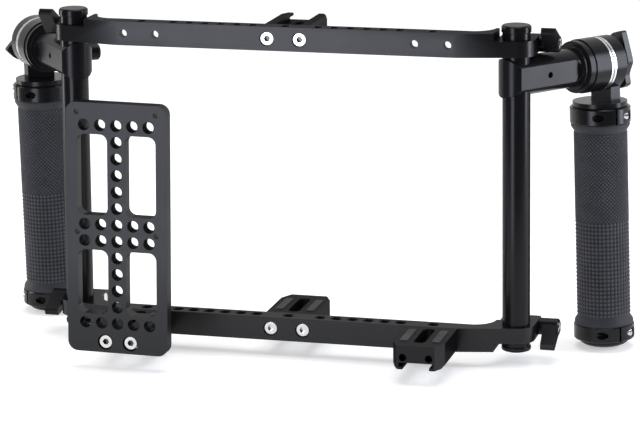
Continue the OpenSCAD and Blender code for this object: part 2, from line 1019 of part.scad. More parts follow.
module cheese_plate() { color(black) plate(); }
module plate_screws() {
  color(steel)
    for (x = [-1, 1])
      translate([x * end_holes / 2 - front_block_x, plate_y - plate_t + sink_h, screw_z])
        socket_screw(plate_t - sink_h + end_thread - over / 2);
}
module top_bar_screws() { color(steel) to_top() rear_block_screws(); }
module bottom_bar_screws() {
  color(steel) {
    rear_block_screws();
    for (s = [1, -1], i = front_screws)
      side(s)
        translate([i * pitch, bar_t / 2 - sink_h, bar_h / 2])
          rotate([0, 0, 180])
            socket_screw(bar_t - sink_h + screw_grip);
  }
}

module top_left_lever() { color(black) side(-1) top_lever_place() lever(top_left_turn); }
module top_right_lever() { color(black) side(1) top_lever_place() lever(top_right_turn); }
module bottom_left_lever() { color(black) side(-1) bar_lever_place() lever(bottom_left_turn); }
module bottom_right_lever() { color(black) side(1) bar_lever_place() lever(bottom_right_turn); }
module left_arm_lever() { color(black) arm_lever_place(-1) lever(arm_lever_turn); }
module right_arm_lever() { color(black) arm_lever_place(1) lever(arm_lever_turn); }
module top_left_lever_screw() { color(steel) side(-1) top_lever_place() lever_screw(top_left_turn); }
module top_right_lever_screw() { color(steel) side(1) top_lever_place() lever_screw(top_right_turn); }
module bottom_left_lever_screw() { color(steel) side(-1) bar_lever_place() lever_screw(bottom_left_turn); }
module bottom_right_lever_screw() { color(steel) side(1) bar_lever_place() lever_screw(bottom_right_turn); }
module left_arm_lever_screw() { color(steel) arm_lever_place(-1) lever_screw(arm_lever_turn); }
module right_arm_lever_screw() { color(steel) arm_lever_place(1) lever_screw(arm_lever_turn); }

module left_arm() { color(dark) arm_frame(-1) arm(); }
module right_arm() { color(dark) arm_frame(1) arm(); }
module left_arm_stud() { color(steel) arm_frame(-1) arm_stud(); }
module right_arm_stud() { color(steel) arm_frame(1) arm_stud(); }
module left_arm_teeth() { color(steel) arm_frame(-1) arm_teeth(); }
module right_arm_teeth() { color(steel) arm_frame(1) arm_teeth(); }

module left_yoke() { color(dark) handle_frame(-1) yoke(); }
module right_yoke() { color(dark) handle_frame(1) yoke(); }
module left_handle_teeth() { color(steel) handle_frame(-1) handle_teeth(); }
module right_handle_teeth() { color(steel) handle_frame(1) handle_teeth(); }
module left_core() { color(dark) handle_frame(-1) core(); }
module right_core() { color(dark) handle_frame(1) core(); }
module left_grip() { color(rubber) handle_frame(-1) grip(); }
module right_grip() { color(rubber) handle_frame(1) grip(); }
module left_upper_lock() { color(black) handle_frame(-1) lock_ring(grip_top, lock_h); }
module right_upper_lock() { color(black) handle_frame(1) lock_ring(grip_top, lock_h); }
module left_lower_lock() { color(black) handle_frame(-1) lock_ring(lower_lock_bottom, lower_lock_h); }
module right_lower_lock() { color(black) handle_frame(1) lock_ring(lower_lock_bottom, lower_lock_h); }
module left_lock_screws() { color(steel) handle_frame(-1) lock_screws(); }
module right_lock_screws() { color(steel) handle_frame(1) lock_screws(); }
module left_end_cap() { color(black) handle_frame(-1) end_cap(); }
module right_end_cap() { color(black) handle_frame(1) end_cap(); }
module left_knob() { color(black) arm_frame(-1) knob(left_knob_turn); }
module right_knob() { color(black) arm_frame(1) knob(right_knob_turn); }
module left_knob_bolt() { color(steel) arm_frame(-1) knob_bolt(); }
module right_knob_bolt() { color(steel) arm_frame(1) knob_bolt(); }

bottom_bar();
cheese_plate();
plate_screws();
front_left_block();
front_right_block();
bottom_rear_block();
bottom_pads();
bottom_bar_screws();
bottom_clamp_studs();
top_bar();
left_rod();
right_rod();
top_caps();
bottom_caps();
top_rear_block();
top_pads();
top_bar_screws();
top_clamp_studs();
top_left_lever();
top_left_lever_screw();
top_right_lever();
top_right_lever_screw();
bottom_left_lever();
bottom_left_lever_screw();
bottom_right_lever();
bottom_right_lever_screw();
left_arm();
left_arm_teeth();
left_arm_stud();
left_arm_lever();
left_arm_lever_screw();
right_arm();
right_arm_teeth();
right_arm_stud();
right_arm_lever();
right_arm_lever_screw();
left_yoke();
left_handle_teeth();
left_core();
left_grip();
left_upper_lock();
left_lower_lock();
left_lock_screws();
left_end_cap();
left_knob();
left_knob_bolt();
right_yoke();
right_handle_teeth();
right_core();
right_grip();
right_upper_lock();
right_lower_lock();
right_lock_screws();
right_end_cap();
right_knob();
right_knob_bolt();
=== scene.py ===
# %% [markdown]
# # A cage for a small field monitor
#
# The real object is machined aluminium, dyed black in an anodising bath: two bars with split
# clamps, two rods, four shoe blocks, a plate full of holes, and two rubber grips that hang on
# toothed joints. The solids come from the construction model, exact and sharp. This lesson
# gives them what a camera sees: rounded edges, threads in the holes, studded rubber, finishes
# and light.

# %% Load the frame
import json
import math

import bmesh
import bpy
import numpy as np
from mathutils import Matrix, Vector


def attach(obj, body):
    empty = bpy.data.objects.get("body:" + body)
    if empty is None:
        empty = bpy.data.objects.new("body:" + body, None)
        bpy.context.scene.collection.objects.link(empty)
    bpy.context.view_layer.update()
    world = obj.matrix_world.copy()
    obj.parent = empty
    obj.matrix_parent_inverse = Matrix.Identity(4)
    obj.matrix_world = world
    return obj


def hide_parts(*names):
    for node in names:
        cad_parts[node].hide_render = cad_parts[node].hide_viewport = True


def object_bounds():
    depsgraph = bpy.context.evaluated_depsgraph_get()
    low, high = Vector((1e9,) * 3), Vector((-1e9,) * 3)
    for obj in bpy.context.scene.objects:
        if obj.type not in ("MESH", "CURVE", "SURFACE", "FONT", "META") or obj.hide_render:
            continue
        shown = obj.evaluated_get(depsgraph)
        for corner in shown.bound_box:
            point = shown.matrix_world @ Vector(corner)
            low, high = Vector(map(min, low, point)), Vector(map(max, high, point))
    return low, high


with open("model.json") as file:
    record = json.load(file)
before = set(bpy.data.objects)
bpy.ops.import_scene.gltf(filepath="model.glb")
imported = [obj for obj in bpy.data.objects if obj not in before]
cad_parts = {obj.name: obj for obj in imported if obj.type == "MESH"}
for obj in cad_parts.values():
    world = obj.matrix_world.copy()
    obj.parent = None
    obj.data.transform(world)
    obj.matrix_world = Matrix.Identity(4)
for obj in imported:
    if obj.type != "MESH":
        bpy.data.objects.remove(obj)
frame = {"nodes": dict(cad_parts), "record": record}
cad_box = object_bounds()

MM = 0.001
SIDES = ("left", "right")
scene = bpy.context.scene
record = frame["record"]

# %% [markdown]
# ## The camera
#
# A long lens, a metre and a half away, slightly above the bars and to the right. Its place
# was worked out from the rods: both are upright and have one known diameter, so their widths
# and their lean give the distance and the tilt. The fit puts the lens's axis at the
# photograph's top edge, so the lens is shifted by half the picture's height. That is a weak
# point: a lens without shift would draw the object within 2 pixels of this one, and views from
# other directions keep the shift and cut the object off.

# %% Camera
YAW = math.radians(14.416)
PITCH = math.radians(9.191)
ROLL = math.radians(-0.463)
AIM = Vector((0.037922, 0.011, 0.188568))
DISTANCE = 1.524504
PHOTO_W, PHOTO_H = 640, 442
FOCAL_PX = 2849.118
CENTRE_PX = (358.487, -3.71)
SENSOR_MM, FAR_END = 36, 20

level_part = math.cos(PITCH)
back = Vector((math.sin(YAW) * level_part, -math.cos(YAW) * level_part, math.sin(PITCH)))
right = Vector((math.cos(YAW), math.sin(YAW), 0))
up = back.cross(right)
rolled_right = math.cos(ROLL) * right + math.sin(ROLL) * up
rolled_up = math.cos(ROLL) * up - math.sin(ROLL) * right

lens = bpy.data.cameras.new("camera")
lens.sensor_width = SENSOR_MM
lens.lens = FOCAL_PX / PHOTO_W * lens.sensor_width
lens.shift_x = (PHOTO_W / 2 - CENTRE_PX[0]) / PHOTO_W
lens.shift_y = (CENTRE_PX[1] - PHOTO_H / 2) / PHOTO_W
lens.clip_end = FAR_END
camera = bpy.data.objects.new("camera", lens)
scene.collection.objects.link(camera)
place = Matrix((rolled_right, rolled_up, back)).transposed().to_4x4()
place.translation = AIM + back * DISTANCE
camera.matrix_world = place
scene.camera = camera
print("camera at", [round(v, 3) for v in place.translation])

# %% [markdown]
# ## Light
#
# Black metal shows its shape by what it reflects, so the lamps are placed by their reflections.
# A flat front turned straight ahead mirrors a point as far to the left as the camera stands to
# the right, and as far below the horizon as the camera stands above it: a tall soft box covers
# that place, and makes the plate and the bars grey. The facets beside it look past the box and
# stay black. A strip at each side draws the bright line along rods and grips, and a wide box
# overhead lights the floor and the caps.

# %% Lamps
MIDDLE = Vector((0.02, 0.02, 0.08))
COOL, WARM, PLAIN = (0.85, 0.88, 1.0), (1.0, 0.98, 0.94), (1.0, 1.0, 1.0)


def soft_box(name, azimuth, distance, height, size, level, colour):
    """An area lamp that faces the middle of the object.

    azimuth is in degrees to the right of straight ahead. distance and height are counted from
    the middle, and size is (width, height), all in metres. level is its brightness, where 1 is
    that of white paper. Power = level x area x pi.
    """
    lamp = bpy.data.lights.new(name, "AREA")
    lamp.shape = "RECTANGLE"
    lamp.size, lamp.size_y = size
    lamp.energy = level * size[0] * size[1] * math.pi
    lamp.color = colour
    turn = math.radians(azimuth)
    holder = bpy.data.objects.new(name, lamp)
    scene.collection.objects.link(holder)
    away = Vector((math.sin(turn) * distance, -math.cos(turn) * distance, height))
    holder.location = MIDDLE + away
    holder.rotation_euler = (MIDDLE - holder.location).to_track_quat("-Z", "Y").to_euler()


soft_box("key_box", -17, 1.5, 0.10, (0.60, 1.0), 7.5, COOL)
soft_box("right_strip", 97, 1.3, 0.25, (0.36, 1.2), 11.5, COOL)
soft_box("left_strip", -95, 1.3, 0.25, (0.30, 1.2), 8.5, WARM)
soft_box("top_box", 180, 0.15, 1.5, (1.3, 1.0), 3.2, PLAIN)

# %% [markdown]
# ## Floor and surroundings
#
# The photograph has a white ground. The floor is a white sheet that still takes the object's
# shadow. Its edge lies 0.25 m in front of the object, so that only the lowest pieces mirror
# it. A little plain white is added to it for rays that come from the camera or from a glossy
# surface, so that it reads as white without more light on the object.

# %% Shader helpers
def node(tree, kind, **settings):
    """Adds a shader node of that kind, and sets its plain properties."""
    made = tree.nodes.new(kind)
    for key, value in settings.items():
        setattr(made, key, value)
    return made


def wire(tree, source, output, target, socket):
    """Joins a node's output to another node's socket, both by name or number."""
    tree.links.new(source.outputs[output], target.inputs[socket])


def seen_ray(tree):
    """1 for rays from the camera, from gloss or through glass, and 0 for all others."""
    path = node(tree, "ShaderNodeLightPath")
    glossy = node(tree, "ShaderNodeMath", operation="MAXIMUM")
    clear = node(tree, "ShaderNodeMath", operation="MAXIMUM")
    wire(tree, path, "Is Camera Ray", glossy, 0)
    wire(tree, path, "Is Glossy Ray", glossy, 1)
    wire(tree, glossy, 0, clear, 0)
    wire(tree, path, "Is Transmission Ray", clear, 1)
    return clear


# %% World
# The studio is white behind the object and dark behind the camera. Glossy rays see that room:
# white where they leave to the back, almost black where they leave to the front.
ROOM_DARK, ROOM_WHITE = 0.03, 1.0
DARK_UNTIL, WHITE_FROM = -0.10, 0.85
SKY_ON_OBJECT = 0.35
world = bpy.data.worlds.new("studio")
scene.world = world
world.use_nodes = True
sky = world.node_tree
sky.nodes.clear()
direction = node(sky, "ShaderNodeTexCoord")
split = node(sky, "ShaderNodeSeparateXYZ")
room = node(sky, "ShaderNodeMapRange", interpolation_type="SMOOTHSTEP")
room.inputs["From Min"].default_value = DARK_UNTIL
room.inputs["From Max"].default_value = WHITE_FROM
room.inputs["To Min"].default_value = ROOM_DARK
room.inputs["To Max"].default_value = ROOM_WHITE
path = node(sky, "ShaderNodeLightPath")
in_gloss = node(sky, "ShaderNodeMix", data_type="FLOAT")
in_gloss.inputs["A"].default_value = ROOM_WHITE
sky_level = node(sky, "ShaderNodeMapRange")
sky_level.inputs["To Min"].default_value = SKY_ON_OBJECT
sky_light = node(sky, "ShaderNodeBackground")
sky_out = node(sky, "ShaderNodeOutputWorld")
sky_light.inputs["Color"].default_value = (1, 1, 1, 1)
wire(sky, direction, "Generated", split, 0)
wire(sky, split, "Y", room, "Value")
wire(sky, path, "Is Glossy Ray", in_gloss, "Factor")
wire(sky, room, 0, in_gloss, "B")
wire(sky, seen_ray(sky), 0, sky_level, "Value")
wire(sky, in_gloss, 0, sky_level, "To Max")
wire(sky, sky_level, 0, sky_light, "Strength")
wire(sky, sky_light, 0, sky_out, "Surface")

# %% Floor
FLOOR_R, FLOOR_Y, FLOOR_SIDES = 0.9, 0.6, 64
FLOOR_GAP = 0.05 * MM
PAPER_WHITE, PAPER_GLOW = 0.86, 0.42
floor_z = cad_box[0][2] - FLOOR_GAP
paper = bpy.data.materials.new("paper")
paper.use_nodes = True
sheet = paper.node_tree
sheet.nodes.clear()
white = node(sheet, "ShaderNodeBsdfDiffuse")
white.inputs["Color"].default_value = (PAPER_WHITE, PAPER_WHITE, PAPER_WHITE, 1)
glow = node(sheet, "ShaderNodeEmission")
glow_level = node(sheet, "ShaderNodeMath", operation="MULTIPLY")
glow_level.inputs[1].default_value = PAPER_GLOW
both = node(sheet, "ShaderNodeAddShader")
sheet_out = node(sheet, "ShaderNodeOutputMaterial")
wire(sheet, seen_ray(sheet), 0, glow_level, 0)
wire(sheet, glow_level, 0, glow, "Strength")
wire(sheet, white, 0, both, 0)
wire(sheet, glow, 0, both, 1)
wire(sheet, both, 0, sheet_out, "Surface")

ground = bpy.data.meshes.new("floor")
rim = [2 * math.pi * i / FLOOR_SIDES for i in range(FLOOR_SIDES)]
rim_points = [(FLOOR_R * math.cos(a), FLOOR_R * math.sin(a) + FLOOR_Y, floor_z) for a in rim]
ground.from_pydata(rim_points, [], [tuple(range(FLOOR_SIDES))])
ground.materials.append(paper)
floor = bpy.data.objects.new("floor", ground)
scene.collection.objects.link(floor)
scene.view_settings.view_transform = "Standard"

# %% [markdown]
# ## Effects that several finishes share
#
# Three effects are node groups, each with named inputs. "Fine grain" is the sandblasted skin
# under an anodised layer. "Turned lines" are the rings that a lathe leaves. "Edge wear" finds
# sharp edges: a Bevel node bends the normal near an edge, and where it differs from the true
# normal, the dye has been rubbed thin.

# %% Group: fine grain
FLOAT, VECTOR = "NodeSocketFloat", "NodeSocketVector"
GRAIN_DETAIL, RING_DETAIL, PATCH_DETAIL = 3, 2, 4


def new_group(name, inputs, outputs):
    """An empty node group with float, vector or colour sockets, and its two end nodes."""
    group = bpy.data.node_groups.new(name, "ShaderNodeTree")
    for label, kind, default in inputs:
        socket = group.interface.new_socket(label, in_out="INPUT", socket_type=kind)
        if default is not None:
            socket.default_value = default
    for label, kind in outputs:
        group.interface.new_socket(label, in_out="OUTPUT", socket_type=kind)
    return group, node(group, "NodeGroupInput"), node(group, "NodeGroupOutput")


grain, grain_in, grain_out = new_group(
    "Fine grain",
    [("Vector", VECTOR, None), ("Grain size", FLOAT, 0.15 * MM), ("Cloud size", FLOAT, 18 * MM)],
    [("Height", FLOAT), ("Cloud", FLOAT)])
for size, output in (("Grain size", "Height"), ("Cloud size", "Cloud")):
    inverse = node(grain, "ShaderNodeMath", operation="DIVIDE")
    inverse.inputs[0].default_value = 1
    wire(grain, grain_in, size, inverse, 1)
    noise = node(grain, "ShaderNodeTexNoise")
    noise.inputs["Detail"].default_value = GRAIN_DETAIL
    wire(grain, grain_in, "Vector", noise, "Vector")
    wire(grain, inverse, 0, noise, "Scale")
    wire(grain, noise, "Fac", grain_out, output)

# %% Group: turned lines
lines, lines_in, lines_out = new_group(
    "Turned lines",
    [("Along", FLOAT, 0.0), ("Pitch", FLOAT, 0.12 * MM), ("Unevenness", FLOAT, 0.6)],
    [("Height", FLOAT)])
per_pitch = node(lines, "ShaderNodeMath", operation="DIVIDE")
wire(lines, lines_in, "Along", per_pitch, 0)
wire(lines, lines_in, "Pitch", per_pitch, 1)
ring = node(lines, "ShaderNodeTexNoise", noise_dimensions="1D")
ring.inputs["Scale"].default_value = 1
ring.inputs["Detail"].default_value = RING_DETAIL
wire(lines, per_pitch, 0, ring, "W")
level = node(lines, "ShaderNodeMath", operation="MULTIPLY")
wire(lines, ring, "Fac", level, 0)
wire(lines, lines_in, "Unevenness", level, 1)
wire(lines, level, 0, lines_out, "Height")

# %% Group: edge wear
# Wear starts where the two normals agree less than EDGE_FROM, and is full at EDGE_FULL. It
# shows in patches of noise between PATCH_FROM and PATCH_FULL.
BEND_SAMPLES = 4
EDGE_FROM, EDGE_FULL = 0.995, 0.90
PATCH_FROM, PATCH_FULL = 0.35, 0.7
wear, wear_in, wear_out = new_group(
    "Edge wear",
    [("Vector", VECTOR, None), ("Radius", FLOAT, 0.3 * MM), ("Patch size", FLOAT, 6 * MM)],
    [("Mask", FLOAT)])
bent = node(wear, "ShaderNodeBevel")
bent.samples = BEND_SAMPLES
wire(wear, wear_in, "Radius", bent, "Radius")
true = node(wear, "ShaderNodeNewGeometry")
agree = node(wear, "ShaderNodeVectorMath", operation="DOT_PRODUCT")
wire(wear, bent, "Normal", agree, 0)
wire(wear, true, "Normal", agree, 1)
edge = node(wear, "ShaderNodeMapRange")
edge.inputs["From Min"].default_value = EDGE_FROM
edge.inputs["From Max"].default_value = EDGE_FULL
wire(wear, agree, "Value", edge, "Value")
patch_scale = node(wear, "ShaderNodeMath", operation="DIVIDE")
patch_scale.inputs[0].default_value = 1
wire(wear, wear_in, "Patch size", patch_scale, 1)
patch = node(wear, "ShaderNodeTexNoise")
patch.inputs["Detail"].default_value = PATCH_DETAIL
wire(wear, wear_in, "Vector", patch, "Vector")
wire(wear, patch_scale, 0, patch, "Scale")
patch_level = node(wear, "ShaderNodeMapRange")
patch_level.inputs["From Min"].default_value = PATCH_FROM
patch_level.inputs["From Max"].default_value = PATCH_FULL
wire(wear, patch, "Fac", patch_level, "Value")
mask = node(wear, "ShaderNodeMath", operation="MULTIPLY")
wire(wear, edge, 0, mask, 0)
wire(wear, patch_level, 0, mask, 1)
wire(wear, mask, 0, wear_out, "Mask")
print("groups", [g.name for g in bpy.data.node_groups])

# %% [markdown]
# ## Finishes
#
# An anodised part has a dark dye under a hard clear skin. The dye is the base colour, the skin
# gives a soft gloss. Two clouds of noise keep it from looking painted: one shifts the tone a
# little over centimetres, the other is the grain that softens every reflection. The blasted
# skin shades itself at a grazing angle, so its gloss is lowered there: without that, every wall
# seen edge-on would mirror the white ground.

# %% Helpers for materials
def new_material(name):
    """A material, with its tree, its shader and its texture coordinates."""
    material = bpy.data.materials.new(name)
    material.use_nodes = True
    tree = material.node_tree
    return material, tree, tree.nodes["Principled BSDF"], node(tree, "ShaderNodeTexCoord")


def bump(tree, source, output, skin, strength, depth):
    """Roughens a shader's surface by the height that a node gives. depth is in metres."""
    relief = node(tree, "ShaderNodeBump")
    relief.inputs["Strength"].default_value = strength
    relief.inputs["Distance"].default_value = depth
    wire(tree, source, output, relief, "Height")
    wire(tree, relief, 0, skin, "Normal")


def placed_group(tree, group, **values):
    """Puts a node group in a material, with values for its named inputs."""
    made = node(tree, "ShaderNodeGroup", node_tree=group)
    for label, value in values.items():
        made.inputs[label.replace("_", " ")].default_value = value
    return made


def blend_colours(tree, mask, colours):
    """A colour between two, by a mask from 0 to 1."""
    mixed = node(tree, "ShaderNodeMix", data_type="RGBA")
    mixed.inputs["A"].default_value = (*colours[0], 1)
    mixed.inputs["B"].default_value = (*colours[1], 1)
    tree.links.new(mask, mixed.inputs["Factor"])
    return mixed.outputs["Result"]


def blend_numbers(tree, mask, low, high):
    """A number between two, by a mask from 0 to 1."""
    mapped = node(tree, "ShaderNodeMapRange")
    mapped.inputs["To Min"].default_value = low
    mapped.inputs["To Max"].default_value = high
    tree.links.new(mask, mapped.inputs["Value"])
    return mapped.outputs[0]


# %% Anodised aluminium
# Facing is 0 on a face seen straight on and 1 on one seen edge-on. The gloss falls between
# DULL_FROM and DULL_FULL. The tone wanders between two shares of the dye, and where it is rubbed
# thin the colour is RUB_GAIN times the dye and RUB_ADD more.
DULL_FROM, DULL_FULL = 0.35, 0.80
TONE_LOW, TONE_HIGH = 0.86, 1.12
RUB_GAIN, RUB_ADD = 2.6, 0.02
SKIN_BUMP = (0.5, 0.004 * MM)


def anodised(name, dye, gloss, speck=0.24, edge_on=0.01, turned=None):
    """Dyed aluminium: dye is its colour, gloss = (roughness low, high).

    speck is its gloss seen straight on, and edge_on the share of it that is left when it is seen
    edge-on; turned is an axis of lathe rings.
    """
    material, tree, skin, where = new_material(name)
    skin.inputs["Metallic"].default_value = 0
    facing = node(tree, "ShaderNodeLayerWeight")
    dulled = node(tree, "ShaderNodeMapRange", interpolation_type="SMOOTHSTEP")
    dulled.inputs["From Min"].default_value = DULL_FROM
    dulled.inputs["From Max"].default_value = DULL_FULL
    dulled.inputs["To Min"].default_value = speck
    dulled.inputs["To Max"].default_value = edge_on * speck
    wire(tree, facing, "Facing", dulled, "Value")
    wire(tree, dulled, 0, skin, "Specular IOR Level")
    fine = placed_group(tree, grain)
    worn = placed_group(tree, wear)
    wire(tree, where, "Object", fine, "Vector")
    wire(tree, where, "Object", worn, "Vector")
    darker = tuple(TONE_LOW * c for c in dye)
    lighter = tuple(TONE_HIGH * c for c in dye)
    tone = blend_colours(tree, fine.outputs["Cloud"], (darker, lighter))
    rubbed = node(tree, "ShaderNodeMix", data_type="RGBA")
    rubbed.inputs["B"].default_value = (*[RUB_GAIN * c + RUB_ADD for c in dye], 1)
    tree.links.new(tone, rubbed.inputs["A"])
    wire(tree, worn, "Mask", rubbed, "Factor")
    tree.links.new(rubbed.outputs["Result"], skin.inputs["Base Color"])
    tree.links.new(blend_numbers(tree, fine.outputs["Cloud"], *gloss), skin.inputs["Roughness"])
    height = fine
    if turned is not None:
        height = placed_group(tree, lines)
        split = node(tree, "ShaderNodeSeparateXYZ")
        wire(tree, where, "Object", split, 0)
        wire(tree, split, turned, height, "Along")
    bump(tree, height, "Height", skin, *SKIN_BUMP)
    return material


PLAIN_DYE = (0.0060, 0.0060, 0.0068)
finish = {
    "bar_black": anodised("anodised_bar", PLAIN_DYE, (0.26, 0.34), speck=0.29),
    "plate_black": anodised("anodised_plate", (0.0075, 0.0078, 0.0090), (0.30, 0.38), speck=0.28),
    "block_black": anodised("anodised_block", (0.0050, 0.0050, 0.0058), (0.36, 0.46), speck=0.18),
    "rod_black": anodised("anodised_rod", PLAIN_DYE, (0.20, 0.26), 0.17, 0.1, turned="Z"),
    "arm_black": anodised("anodised_arm", (0.0070, 0.0070, 0.0080), (0.22, 0.30), 0.17, 0.6),
    "lock_black": anodised("anodised_lock", PLAIN_DYE, (0.20, 0.28), speck=0.22, edge_on=0.5),
    "lever_black": anodised("black_lever", (0.0050, 0.0050, 0.0060), (0.30, 0.40), speck=0.18),
    "knob_black": anodised("anodised_knob", (0.0120, 0.0124, 0.0145), (0.28, 0.36), 0.34, 0.5),
}

# %% [markdown]
# ## Steel and rubber
#
# Screws and toothed rings are bare steel: fully metallic, with grain that varies the gloss. A point
# attribute is 1 on the floor of a screw's socket, which is darkened there as painted shade.
# Rubber is a matt, slightly uneven black. The grips carry a point attribute, `stud`, that is 1 on
# top of a stud and 0 in a groove: the grooves get painted shade and the tops painted light, and the
# tops' lower roughness is their polish.

# %% Steel
# Painted shade: the colour that the floor of a screw's socket is darkened to.
SOCKET_PAINTED_SHADE = (0.05, 0.05, 0.05)
STEEL_LOW = 0.82
STEEL_GRAIN, STEEL_CLOUD = 0.2 * MM, 2.5 * MM
STEEL_BUMP = (0.4, 0.003 * MM)


def steel(name, colour, gloss):
    """Bare metal of a colour, gloss = (roughness low, high)."""
    material, tree, skin, where = new_material(name)
    skin.inputs["Metallic"].default_value = 1
    fine = placed_group(tree, grain, Grain_size=STEEL_GRAIN, Cloud_size=STEEL_CLOUD)
    wire(tree, where, "Object", fine, "Vector")
    darker = tuple(STEEL_LOW * c for c in colour)
    # Painted shade: the floor of a screw's socket is mixed toward a dark colour.
    socket_shade = node(tree, "ShaderNodeAttribute", attribute_name="socket_shade")
    shaded = node(tree, "ShaderNodeMix", data_type="RGBA")
    shaded.inputs["B"].default_value = (*SOCKET_PAINTED_SHADE, 1)
    tone = blend_colours(tree, fine.outputs["Cloud"], (darker, colour))
    tree.links.new(tone, shaded.inputs["A"])
    wire(tree, socket_shade, "Fac", shaded, "Factor")
    tree.links.new(shaded.outputs["Result"], skin.inputs["Base Color"])
    tree.links.new(blend_numbers(tree, fine.outputs["Cloud"], *gloss), skin.inputs["Roughness"])
    bump(tree, fine, "Height", skin, *STEEL_BUMP)
    return material


finish["bright_steel"] = steel("bright_steel", (0.62, 0.62, 0.60), (0.16, 0.26))
finish["tooth_steel"] = steel("tooth_steel", (0.84, 0.84, 0.83), (0.22, 0.34))


# %% Rubber
# The mask is STUD_SHARE of the attribute plus NOISE_SHARE of the noise. On the grips the
# attribute's share is painted shade in the grooves and painted light on the stud tops, and the
# noise's share is random tone.
RUBBER_SPECK, RUBBER_GLOSS = 0.3, (0.72, 0.50)
RUBBER_GRAIN, RUBBER_CLOUD = 0.25 * MM, 9 * MM
RUBBER_BUMP = (0.5, 0.012 * MM)
STUD_SHARE, NOISE_SHARE = 0.75, 0.35


def rubber(name, low, high, attribute=None):
    """Matt rubber between two colours, by noise, or by a point attribute where it has one."""
    material, tree, skin, where = new_material(name)
    skin.inputs["Specular IOR Level"].default_value = RUBBER_SPECK
    fine = placed_group(tree, grain, Grain_size=RUBBER_GRAIN, Cloud_size=RUBBER_CLOUD)
    wire(tree, where, "Object", fine, "Vector")
    if attribute is None:
        mask = fine.outputs["Cloud"]
    else:
        # On the grips this attribute paints shade into the grooves and light onto the stud tops.
        stud = node(tree, "ShaderNodeAttribute", attribute_name=attribute)
        stud_shade_and_tone = node(tree, "ShaderNodeMath", operation="MULTIPLY_ADD")
        stud_shade_and_tone.inputs[1].default_value = STUD_SHARE
        wire(tree, stud, "Fac", stud_shade_and_tone, 0)
        share = node(tree, "ShaderNodeMath", operation="MULTIPLY")
        share.inputs[1].default_value = NOISE_SHARE
        wire(tree, fine, "Cloud", share, 0)
        wire(tree, share, 0, stud_shade_and_tone, 2)
        mask = stud_shade_and_tone.outputs[0]
    tree.links.new(blend_colours(tree, mask, (low, high)), skin.inputs["Base Color"])
    tree.links.new(blend_numbers(tree, mask, *RUBBER_GLOSS), skin.inputs["Roughness"])
    bump(tree, fine, "Height", skin, *RUBBER_BUMP)
    return material


# Painted shade for the grips' grooves and painted light for their stud tops.
GROOVE_PAINTED_SHADE, STUD_TOP_PAINTED_LIGHT = (0.0015, 0.0015, 0.0020), (0.068, 0.069, 0.080)
finish["grip_rubber"] = rubber("grip_rubber", GROOVE_PAINTED_SHADE, STUD_TOP_PAINTED_LIGHT, "stud")
finish["pad_rubber"] = rubber("pad_rubber", (0.010, 0.010, 0.011), (0.020, 0.020, 0.023))
print("finishes", len(finish))

# %% [markdown]
# ## Machined pieces with rounded edges
#
# No machined edge is sharp: it is broken by a fraction of a millimetre, and that thin band
# catches the light. The exact solids arrive as loose triangles. A copy is merged, its flat
# triangles are joined into whole faces, and a Bevel modifier rounds what is left of the edges.
# Weighted normals then keep the big faces flat, so that all the bending stays in the band.
# This was chosen over modelling each chamfer, because it treats every hole and slot alike.

# %% Rounded copies
slot_of = {row["node"]: row["material_slot"] for row in record["subparts"]}
bodies = record["behaviour"]["bodies"]
body_of = {name: body for body, names in bodies.items() for name in names}
SEAM = 0.001 * MM
FLAT = math.radians(0.6)
BEVEL_STEPS, FACE_WEIGHT = 2, 80
PLAIN_CORNER, DOME_CORNER, KNOB_CORNER = 20, 38, 30


def edged_piece(shape, name, width, corner=PLAIN_CORNER):
    """An object from an editable mesh, in place of a CAD node, with rounded edges.

    Edges that bend by more than corner degrees are rounded over width. Weighted normals come
    after, because a normal that is the plain mean of its faces would bend the big flat ones.
    """
    mesh = bpy.data.meshes.new(name + "_rounded")
    shape.to_mesh(mesh)
    shape.free()
    mesh.materials.append(finish[slot_of[name]])
    mesh.shade_smooth()
    piece = bpy.data.objects.new(name + "_rounded", mesh)
    scene.collection.objects.link(piece)
    soft = piece.modifiers.new("rounding", "BEVEL")
    soft.limit_method = "ANGLE"
    soft.angle_limit = math.radians(corner)
    soft.width = width
    soft.segments = BEVEL_STEPS
    soft.use_clamp_overlap = True
    even = piece.modifiers.new("even normals", "WEIGHTED_NORMAL")
    even.keep_sharp = True
    even.weight = FACE_WEIGHT
    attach(piece, body_of[name])
    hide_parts(name)


def merged(name):
    """A CAD node as an editable mesh of whole faces."""
    shape = bmesh.new()
    shape.from_mesh(frame["nodes"][name].data)
    bmesh.ops.remove_doubles(shape, verts=shape.verts, dist=SEAM)
    bmesh.ops.dissolve_limit(shape, angle_limit=FLAT, verts=shape.verts, edges=shape.edges)
    for face in shape.faces:
        face.material_index = 0
    return shape


CLAMP_NAMES = ("top_left", "top_right", "bottom_left", "bottom_right", "left_arm", "right_arm")
ROUNDING = {
    0.30 * MM: ["bottom_bar", "top_bar", "front_left_block", "front_right_block",
                "bottom_rear_block", "top_rear_block"],
    0.25 * MM: ["left_arm", "right_arm", "left_yoke", "right_yoke"],
    0.20 * MM: [w + "_lever" for w in CLAMP_NAMES]
    + ["left_upper_lock", "left_lower_lock", "right_upper_lock", "right_lower_lock", "right_rod"],
    0.15 * MM: ["left_lock_screws", "right_lock_screws", "top_pads", "bottom_pads"],
    0.10 * MM: [w + "_lever_screw" for w in CLAMP_NAMES]
    + ["bottom_clamp_studs", "top_clamp_studs", "left_arm_stud", "right_arm_stud",
       "left_core", "right_core", "left_knob_bolt", "right_knob_bolt"],
}
DOMES, DOME_EDGE = ("left_end_cap", "right_end_cap"), 0.20 * MM
for width, names in ROUNDING.items():
    for name in names:
        edged_piece(merged(name), name, width)
for name in DOMES:
    edged_piece(merged(name), name, DOME_EDGE, DOME_CORNER)
print("rounded", sum(len(names) for names in ROUNDING.values()) + len(DOMES))

